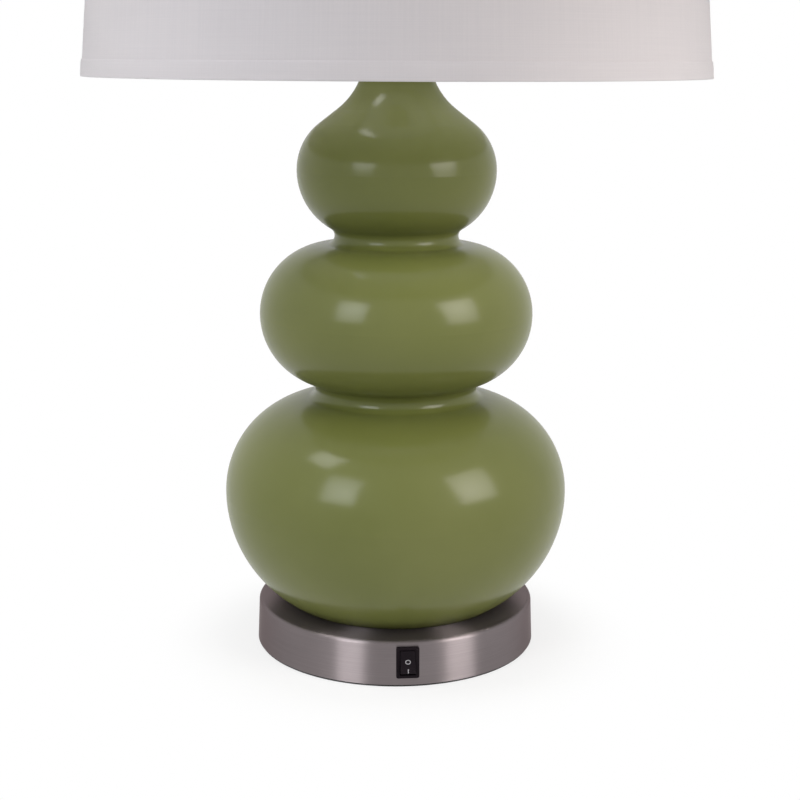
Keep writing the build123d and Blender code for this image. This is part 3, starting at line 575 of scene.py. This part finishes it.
def lapStations(whole, radius):
    # where the strip starts to rise over its own start, half way up, and all the way
    start = whole - shade["lap"] / radius
    ramp = shade["lapRamp"] / radius
    return [start - ramp, start - ramp / 2, start]


def buildShadeCloth():
    low, lowRadius, high, highRadius = coneOf("shade_fabric")
    inner = min(r for z, r in heightAndRadius("shade_fabric") if z < low + near)
    depth = lowRadius - inner
    middle = (lowRadius + highRadius) / 2
    whole = 2 * math.pi + shade["lap"] / middle
    thick = shade["clothThickness"]

    def profile(travel):
        lifted = lapRaise(travel, whole, middle) * (thick + shade["clothGap"])
        back, front = [], []
        for row in range(shade["rows"] + 1):
            share = row / shade["rows"]
            radius = lowRadius + (highRadius - lowRadius) * share - depth + shade["clothGap"] + lifted
            radius += abs(ripple(travel, share, shade["ripple"])) * math.sin(math.pi * share)
            z = low + (high - low) * share
            back.append((radius, z))
            front.append((radius + thick, z))
        return front + back[::-1]

    mesh = stripMesh("shadeCloth", profile, evenStations(whole, lapStations(whole, middle)), middle)
    cloth = addPiece("shadeCloth", mesh, finishes["shade_cloth"], "shade")
    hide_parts("shade_fabric")
    # cut flat, the cone is a piece of a ring
    slant = math.hypot(high - low, lowRadius - highRadius)
    outerArc = lowRadius * slant / (lowRadius - highRadius)
    innerArc = outerArc - slant
    halfAngle = whole * lowRadius / outerArc / 2
    flat = (2 * outerArc * math.sin(halfAngle), outerArc - innerArc * math.cos(halfAngle))
    area = halfAngle * (outerArc**2 - innerArc**2)
    return cloth, flat, area


def buildHem(name, nodeName, atTop):
    # a strip folded over the shade's edge, with the section that the CAD hem has
    points = heightAndRadius(nodeName)
    low, high = min(z for z, r in points), max(z for z, r in points)
    edge, free = (high, low) if atTop else (low, high)
    inward = -1 if atTop else 1
    edgeRadii = [r for z, r in points if abs(z - edge) < near]
    freeRadii = [r for z, r in points if abs(z - free) < near]
    innerEdge, outerEdge = min(edgeRadii), max(edgeRadii)
    thick = max(freeRadii) - min(freeRadii)
    slope = (max(freeRadii) - outerEdge) / (free - edge)
    folded = [z for z, r in points if r < innerEdge + slope * (z - edge) + near]
    foldEnd = min(folded) if atTop else max(folded)
    whole = 2 * math.pi + shade["lap"] / outerEdge
    first = math.radians(shade["seamAngle"])
    ringHeight = sum(corner[2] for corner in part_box("shade_top_ring")) / 2
    notchTop = ringHeight + shade["armRoom"]
    span = abs(free - edge)
    rim = shade["rimRound"]
    bend = rim * 2
    nick = bend * 0.3
    turnIn = thick * 1.6
    puff = shade["hemPuff"]

    def foldReach(travel):
        # the inner leg ends higher where an arm of the spider passes the upper hem
        for arm in shade["armAngles"] if atTop else ():
            turn = first + travel - math.radians(arm)
            away = abs((turn + math.pi) % (2 * math.pi) - math.pi) * innerEdge
            if away < shade["armRoom"]:
                return notchTop
        return foldEnd

    def profile(travel):
        lifted = lapRaise(travel, whole, outerEdge) * thick * 0.5
        over = lifted * 0.5
        wave = ripple(travel * 2, 0.0, shade["hemRipple"])
        end = foldReach(travel)
        section = [(outerEdge + lifted, edge + inward * bend)]
        for share in shade["hemStops"]:
            crown = puff * math.sin(math.pi * share)
            out = outerEdge - puff * 0.5 + crown + lifted + wave * share
            section.append((out, edge + inward * span * share))
        tip = outerEdge + lifted + wave
        # round the free edge, back under the outer leg, then round the inner leg to the fold
        section += [
            (tip - puff * 0.5, free - inward * rim * 0.5),
            (tip - thick * 0.30, free),
            (tip - thick * 0.75, free - inward * rim * 0.3),
            (tip - thick, free - inward * rim),
            (outerEdge - thick + lifted * 0.5, edge + inward * turnIn),
            (outerEdge - turnIn, edge + inward * thick),
            (innerEdge + turnIn, edge + inward * thick),
            (innerEdge + thick, edge + inward * turnIn),
            (innerEdge + thick, end - inward * rim),
            (innerEdge + thick * 0.7, end),
            (innerEdge - over + thick * 0.3, end),
            (innerEdge - over, end - inward * rim),
            (innerEdge - over, edge + inward * bend),
            (innerEdge - over + nick, edge + inward * (nick - over)),
            (innerEdge + bend, edge - inward * over),
            (outerEdge - bend, edge - inward * over),
            (outerEdge - nick + lifted * 0.7, edge + inward * (nick - over)),
        ]
        return [(r + slope * (z - edge), z) for r, z in section]

    extra = lapStations(whole, outerEdge)
    if atTop:
        reach = shade["armRoom"] / innerEdge
        for arm in shade["armAngles"]:
            centre = (math.radians(arm) - first) % (2 * math.pi)
            for share in (-1.02, -0.98, 0.98, 1.02):  # both sides of each side of the notch
                extra += [centre + share * reach, centre + 2 * math.pi + share * reach]
    mesh = stripMesh(name, profile, evenStations(whole, extra), outerEdge)
    hem = addPiece(name, mesh, finishes["hem_cloth"], "shade")
    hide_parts(nodeName)
    return hem


shadeCloth, clothFlat, clothArea = buildShadeCloth()
hemBottom = buildHem("hemBottom", "shade_bottom_hem", False)
hemTop = buildHem("hemTop", "shade_top_hem", True)
print("shade done, cloth cut", [round(x, 3) for x in clothFlat], "area", round(clothArea, 4))


def threadTree():
    # a round ridge swept along a spiral
    tree = bpy.data.node_groups.new("threadRidge", "GeometryNodeTree")
    kinds = {
        "Radius": "Float",
        "Pitch": "Float",
        "Turns": "Float",
        "Ridge": "Float",
        "Steps": "Int",
        "Sides": "Int",
        "Start": "Vector",
        "Finish": "Material",
    }
    for name, kind in kinds.items():
        tree.interface.new_socket(name, in_out="INPUT", socket_type="NodeSocket" + kind)
    tree.interface.new_socket("Geometry", in_out="OUTPUT", socket_type="NodeSocketGeometry")
    given = addNode(tree, "NodeGroupInput", -1000, 0)
    spiral = addNode(tree, "GeometryNodeCurveSpiral", -600, 100)
    height = mathNode(tree, "MULTIPLY", -800, 200, given.outputs["Pitch"], given.outputs["Turns"])
    tree.links.new(height, spiral.inputs["Height"])
    spiralNeeds = {
        "Resolution": "Steps",
        "Rotations": "Turns",
        "Start Radius": "Radius",
        "End Radius": "Radius",
    }
    for socket, name in spiralNeeds.items():
        tree.links.new(given.outputs[name], spiral.inputs[socket])
    section = addNode(tree, "GeometryNodeCurvePrimitiveCircle", -600, -200)
    tree.links.new(given.outputs["Sides"], section.inputs["Resolution"])
    tree.links.new(given.outputs["Ridge"], section.inputs["Radius"])
    sweep = addNode(tree, "GeometryNodeCurveToMesh", -400, 0)
    sweep.inputs["Fill Caps"].default_value = True
    tree.links.new(spiral.outputs[0], sweep.inputs["Curve"])
    tree.links.new(section.outputs["Curve"], sweep.inputs["Profile Curve"])
    shift = addNode(tree, "GeometryNodeTransform", -200, 0)
    tree.links.new(given.outputs["Start"], shift.inputs["Translation"])
    smooth = addNode(tree, "GeometryNodeSetShadeSmooth", 0, 0)
    real = addNode(tree, "GeometryNodeRealizeInstances", 200, 0)
    paint = addNode(tree, "GeometryNodeSetMaterial", 400, 0)
    tree.links.new(given.outputs["Finish"], paint.inputs["Material"])
    chain = (sweep, shift, smooth, real, paint, addNode(tree, "NodeGroupOutput", 600, 0))
    for before, after in zip(chain, chain[1:]):
        tree.links.new(before.outputs[0], after.inputs[0])
    return tree


def grown(name, tree, values):
    # runs a node tree on an empty mesh and keeps what it makes as a plain mesh
    seed = bpy.data.objects.new(name + "Seed", bpy.data.meshes.new(name + "Seed"))
    bpy.context.scene.collection.objects.link(seed)
    modifier = seed.modifiers.new("grow", "NODES")
    modifier.node_group = tree
    for item in tree.interface.items_tree:
        if item.in_out == "INPUT" and item.name in values:
            modifier[item.identifier] = values[item.name]
    bpy.context.view_layer.update()
    shown = seed.evaluated_get(bpy.context.evaluated_depsgraph_get())
    mesh = bpy.data.meshes.new_from_object(shown)
    mesh.name = name
    bpy.data.objects.remove(seed)
    return mesh


def topOf(nodeName):
    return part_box(nodeName)[1][2]


def bottomOf(nodeName):
    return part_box(nodeName)[0][2]


def outerRadius(nodeName):
    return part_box(nodeName)[1][0]


def innerRadius(nodeName, low, high):
    return min(r for z, r in heightAndRadius(nodeName) if low < z < high)


# ridges of the screw threads; start is the way up from the bottom of what they are cut on
threads = {
    "bulb": {
        "pitch": 3.63 * mm,
        "turns": 3.6,
        "ridge": 1.0 * mm,
        "stand": 0.18 * mm,
        "start": 1.6 * mm,
        "sides": 16,
        "perTurn": 48,
    },
    "socket": {
        "pitch": 3.63 * mm,
        "turns": 4.6,
        "ridge": 0.8 * mm,
        "stand": 0.17 * mm,
        "start": 2.4 * mm,
        "sides": 14,
        "perTurn": 48,
    },
    "stud": {
        "pitch": 0.94 * mm,
        "turns": 11.0,
        "ridge": 0.26 * mm,
        "stand": 0.10 * mm,
        "start": -0.3 * mm,
        "sides": 8,
        "perTurn": 28,
    },
    "tube": {
        "pitch": 0.94 * mm,
        "turns": 2.0,
        "ridge": 0.30 * mm,
        "stand": 0.20 * mm,
        "start": 0.1 * mm,
        "sides": 8,
        "perTurn": 36,
    },
}


def addThread(name, size, radius, bottom, outward, body, slot):
    values = {
        "Radius": radius + outward * (size["stand"] - size["ridge"]),
        "Pitch": size["pitch"],
        "Turns": size["turns"],
        "Ridge": size["ridge"],
        "Steps": size["perTurn"],
        "Sides": size["sides"],
        "Start": (0.0, 0.0, bottom + size["start"] + size["ridge"]),
        "Finish": finishes[slot],
    }
    addPiece(name, grown(name, ridgeTree, values), finishes[slot], body)


ridgeTree = threadTree()
bulbRadius = outerRadius("bulb_cap")
addThread("bulbThread", threads["bulb"], bulbRadius, bottomOf("bulb_cap"), 1, "bulb", "bulb_aluminium")
shellLow, shellHigh = bottomOf("socket_screw_shell"), topOf("socket_screw_shell")
shellBore = innerRadius("socket_screw_shell", shellLow + 2 * mm, shellHigh + mm)
addThread("socketThread", threads["socket"], shellBore, shellLow, -1, "lamp", "brass_hardware")
studTop = topOf("harp_swivel")
studLength = threads["stud"]["turns"] * threads["stud"]["pitch"] + 2 * threads["stud"]["ridge"]
studRadius = max(r for z, r in heightAndRadius("harp_swivel") if z > studTop - mm)
addThread("studThread", threads["stud"], studRadius, studTop - studLength, 1, "shade", "zinc_steel")
tubeRadius = outerRadius("centre_tube")
addThread("tubeThread", threads["tube"], tubeRadius, bottomOf("centre_tube"), 1, "lamp", "zinc_steel")
print("threads done")


# the felt under the foot
feltPad = {
    "edgeRound": 0.45 * mm,
    "wobble": 0.12 * mm,
    "wornFrom": 0.95,
    "steps": 256,
    "rings": 10,
}


def buildFeltPad():
    low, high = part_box("base_felt")
    radius, bottom, top = high[0], low[2], high[2]
    fold = feltPad["edgeRound"]
    steps = feltPad["steps"]
    rim = [(radius - fold, bottom)]
    for level, angles in ((bottom + fold, (-60, -30, 0)), (top - fold, (0, 30, 60, 90))):
        for angle in angles:
            rise = math.radians(angle)
            rim.append((radius - fold + fold * math.cos(rise), level + fold * math.sin(rise)))
    inner = [radius * k / feltPad["rings"] for k in range(1, feltPad["rings"])]
    profile = [(r, bottom) for r in inner] + rim + [(r, top) for r in inner[::-1]]
    bm = bmesh.new()
    rings = []
    for r, z in profile:
        ring = []
        for i in range(steps):
            turn = 2 * math.pi * i / steps
            worn = 0
            if r > radius * feltPad["wornFrom"]:
                wave = math.sin(11 * turn) + 0.6 * math.sin(29 * turn + 1)
                worn = min(feltPad["wobble"] * wave / 2, 0)
            ring.append(bm.verts.new(((r + worn) * math.cos(turn), (r + worn) * math.sin(turn), z)))
        rings.append(ring)
    for one, two in zip(rings, rings[1:]):
        for i in range(steps):
            k = (i + 1) % steps
            bm.faces.new((one[i], one[k], two[k], two[i]))
    for ring, z in ((rings[0], bottom), (rings[-1], top)):
        centre = bm.verts.new((0, 0, z))
        for i in range(steps):
            bm.faces.new((centre, ring[i], ring[(i + 1) % steps]))
    pad = addPiece("feltPad", meshOf(bm, "feltPad"), finishes["felt"], "lamp")
    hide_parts("base_felt")


buildFeltPad()
print("felt done")


# floor, light and view
stage = {
    "floorRadius": 6.0,
    "floorColour": 0.95,
    "floorRoughness": 0.9,
    "floorDrop": 0.2 * mm,
    "shadowShare": 0.26,
    "shadowStart": 0.085,
    "shadowReach": 0.18,
    "ambientLow": 0.57,
    "ambientHigh": 0.29,
    "boxCentre": 0.22,
    "boxAim": 0.13,
}


def whiteForSight(tree, x, y):
    # 1 for what the camera, gloss and glass see directly
    rays = addNode(tree, "ShaderNodeLightPath", x, y)
    kinds = ("Camera", "Glossy", "Transmission")
    camera, gloss, glass = (rays.outputs[f"Is {kind} Ray"] for kind in kinds)
    seen = mathNode(tree, "ADD", x + 200, y, camera, gloss)
    total = mathNode(tree, "ADD", x + 400, y, seen, glass)
    return mathNode(tree, "MINIMUM", x + 600, y, total, 1.0)


def buildFloor():
    bm = bmesh.new()
    bmesh.ops.create_circle(bm, cap_ends=True, segments=96, radius=stage["floorRadius"])
    mesh = bpy.data.meshes.new("floor")
    bm.to_mesh(mesh)
    bm.free()
    floor = bpy.data.objects.new("floor", mesh)
    bpy.context.scene.collection.objects.link(floor)
    floor.location.z = -stage["floorDrop"]
    finish, tree, shader, place = newFinish("paleFloor", stage["floorRoughness"])
    tone = stage["floorColour"]
    shader.inputs["Base Color"].default_value = (tone, tone, tone, 1)
    shader.inputs["Specular IOR Level"].default_value = 0.0
    far = addNode(tree, "ShaderNodeVectorMath", -1100, -300)
    far.operation = "LENGTH"
    tree.links.new(place, far.inputs[0])
    fade = addNode(tree, "ShaderNodeMapRange", -800, -300)
    fade.interpolation_type = "SMOOTHERSTEP"
    fade.inputs["From Min"].default_value = stage["shadowStart"]
    fade.inputs["From Max"].default_value = stage["shadowReach"]
    fade.inputs["To Min"].default_value = 1.0 - stage["shadowShare"]
    fade.inputs["To Max"].default_value = 1.0
    tree.links.new(far.outputs["Value"], fade.inputs["Value"])
    sight = whiteForSight(tree, -1100, -600)
    share = mathNode(tree, "MULTIPLY", -300, -300, sight, fade.outputs["Result"])
    glow = addNode(tree, "ShaderNodeEmission", 0, -300, Strength=1.0)
    blend = addNode(tree, "ShaderNodeMixShader", 300, 0)
    tree.links.new(share, blend.inputs[0])
    tree.links.new(shader.outputs[0], blend.inputs[1])
    tree.links.new(glow.outputs[0], blend.inputs[2])
    tree.links.new(blend.outputs[0], tree.nodes["Material Output"].inputs["Surface"])
    mesh.materials.append(finish)


def buildWorld():
    world = bpy.data.worlds.new("softWhite")
    bpy.context.scene.world = world
    world.use_nodes = True
    tree = world.node_tree
    tree.nodes.clear()
    away = addNode(tree, "ShaderNodeTexCoord", -800, 300).outputs["Generated"]
    split = addNode(tree, "ShaderNodeSeparateXYZ", -600, 300)
    tree.links.new(away, split.inputs[0])
    fall = addNode(tree, "ShaderNodeMapRange", -300, 300)
    fall.inputs["To Min"].default_value = stage["ambientLow"]
    fall.inputs["To Max"].default_value = stage["ambientHigh"]
    tree.links.new(split.outputs["Z"], fall.inputs["Value"])
    room = addNode(tree, "ShaderNodeBackground", 0, 100, Color=white)
    tree.links.new(fall.outputs["Result"], room.inputs["Strength"])
    seen = addNode(tree, "ShaderNodeBackground", 0, -100, Color=white, Strength=1.0)
    blend = addNode(tree, "ShaderNodeMixShader", 300, 0)
    tree.links.new(whiteForSight(tree, -800, 0), blend.inputs[0])
    tree.links.new(room.outputs[0], blend.inputs[1])
    tree.links.new(seen.outputs[0], blend.inputs[2])
    out = addNode(tree, "ShaderNodeOutputWorld", 500, 0)
    tree.links.new(blend.outputs[0], out.inputs["Surface"])


# throughShade comes in by the shade's open top and gives the gleams on neck and upper bulb
softBoxes = {
    "left": {
        "azimuth": -42.6,
        "elevation": 23,
        "distance": 0.90,
        "size": (0.38, 0.46),
        "power": 0.39,
        "spread": 60,
        "colour": (0.94, 0.97, 1.0),
    },
    "right": {
        "azimuth": 49.2,
        "elevation": 20.6,
        "distance": 0.72,
        "size": (0.36, 0.40),
        "power": 0.52,
        "spread": 70,
        "colour": (1.0, 0.95, 0.90),
    },
    "overLeft": {
        "azimuth": -80,
        "elevation": 55,
        "distance": 1.90,
        "size": (0.64, 0.70),
        "power": 1.55,
        "spread": 80,
        "colour": (1.0, 1.0, 1.0),
    },
    "throughShade": {
        "azimuth": -88,
        "elevation": 67,
        "distance": 1.90,
        "size": (0.77, 0.37),
        "power": 0.98,
        "spread": 80,
        "colour": (1.0, 1.0, 1.0),
        "onlyOn": ["ceramic_body"],
    },
}
topLight = {"radius": 0.15, "power": 0.41, "drop": 0.02}  # what the shade lets down on the body
# two upright gleams on the foot's brushed side, by lights that fall on the foot alone
footGlints = {
    "distance": 0.69,
    "height": 0.10,
    "tall": 0.18,
    "power": 0.92,
    "azimuths": {"left": -37.9, "right": 45.3},
    "widths": {"left": 0.25, "right": 0.27},
}


def addAreaLight(name, shape, size, power, place, aim):
    data = bpy.data.lights.new(name, "AREA")
    data.shape = shape
    data.size, data.size_y = size
    data.energy = power
    light = bpy.data.objects.new(name, data)
    light.location = place
    light.rotation_euler = (place - aim).to_track_quat("Z", "Y").to_euler()
    bpy.context.scene.collection.objects.link(light)
    return light


def lightLink(light, pieceNames, state):
    # the light falls only on these pieces, or on all but these
    group = bpy.data.collections.new(light.name + "Pieces")
    for pieceName in pieceNames:
        group.objects.link(nodes[pieceName])
    for entry in group.collection_objects:
        entry.light_linking.link_state = state
    light.light_linking.receiver_collection = group


def buildSoftBoxes():
    centre = Vector((0, 0, stage["boxCentre"]))
    aim = Vector((0, 0, stage["boxAim"]))
    for name, box in softBoxes.items():
        turn, rise = math.radians(box["azimuth"]), math.radians(box["elevation"])
        level = Vector((math.sin(turn), -math.cos(turn), 0)) * math.cos(rise)
        place = centre + (level + Vector((0, 0, math.sin(rise)))) * box["distance"]
        light = addAreaLight(name, "RECTANGLE", box["size"], box["power"], place, aim)
        light.data.color = box["colour"]
        light.data.spread = math.radians(box["spread"])
        if "onlyOn" in box:
            lightLink(light, box["onlyOn"], "INCLUDE")


def buildTopLight():
    place = Vector((0, 0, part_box("shade_top_ring")[0][2] - topLight["drop"]))
    size = (2 * topLight["radius"], 2 * topLight["radius"])
    light = addAreaLight("topLight", "DISK", size, topLight["power"], place, Vector((0, 0, 0)))
    light.visible_camera = False
    light.visible_glossy = False
    lightLink(light, ["bulb_glass"], "EXCLUDE")


def buildFootGlints():
    aim = Vector((0, 0, footGlints["height"]))
    for name, azimuth in footGlints["azimuths"].items():
        turn = math.radians(azimuth)
        place = aim + Vector((math.sin(turn), -math.cos(turn), 0)) * footGlints["distance"]
        size = (footGlints["widths"][name], footGlints["tall"])
        light = addAreaLight(name + "Glint", "RECTANGLE", size, footGlints["power"], place, aim)
        lightLink(light, ["base_pan"], "INCLUDE")


# the camera of the photo, fitted to the ellipses of foot and shade
pictureView = {
    "azimuth": -5.1,
    "distance": 1.0185,
    "height": 0.3988,
    "downTilt": 12.71,
    "roll": 0.25,
    "sideStep": 0.0028,
    "lens": 68.57,
    "sensor": 36.0,
}


def buildCamera():
    turn = math.radians(pictureView["azimuth"])
    right = Vector((math.cos(turn), math.sin(turn), 0))
    data = bpy.data.cameras.new("pictureCamera")
    data.sensor_fit = "HORIZONTAL"
    data.sensor_width = pictureView["sensor"]
    data.lens = pictureView["lens"]
    camera = bpy.data.objects.new("pictureCamera", data)
    stand = Vector((math.sin(turn), -math.cos(turn), 0)) * pictureView["distance"]
    camera.location = stand + right * pictureView["sideStep"] + Vector((0, 0, pictureView["height"]))
    tilt, roll = math.radians(90 - pictureView["downTilt"]), math.radians(pictureView["roll"])
    aim = Matrix.Rotation(turn, 4, "Z") @ Matrix.Rotation(tilt, 4, "X")
    camera.rotation_euler = (aim @ Matrix.Rotation(roll, 4, "Z")).to_euler()
    bpy.context.scene.collection.objects.link(camera)
    bpy.context.scene.camera = camera


buildFloor()
buildWorld()
buildSoftBoxes()
buildTopLight()
buildFootGlints()
buildCamera()
bpy.context.scene.view_settings.view_transform = "Standard"
print("floor, light and view done")
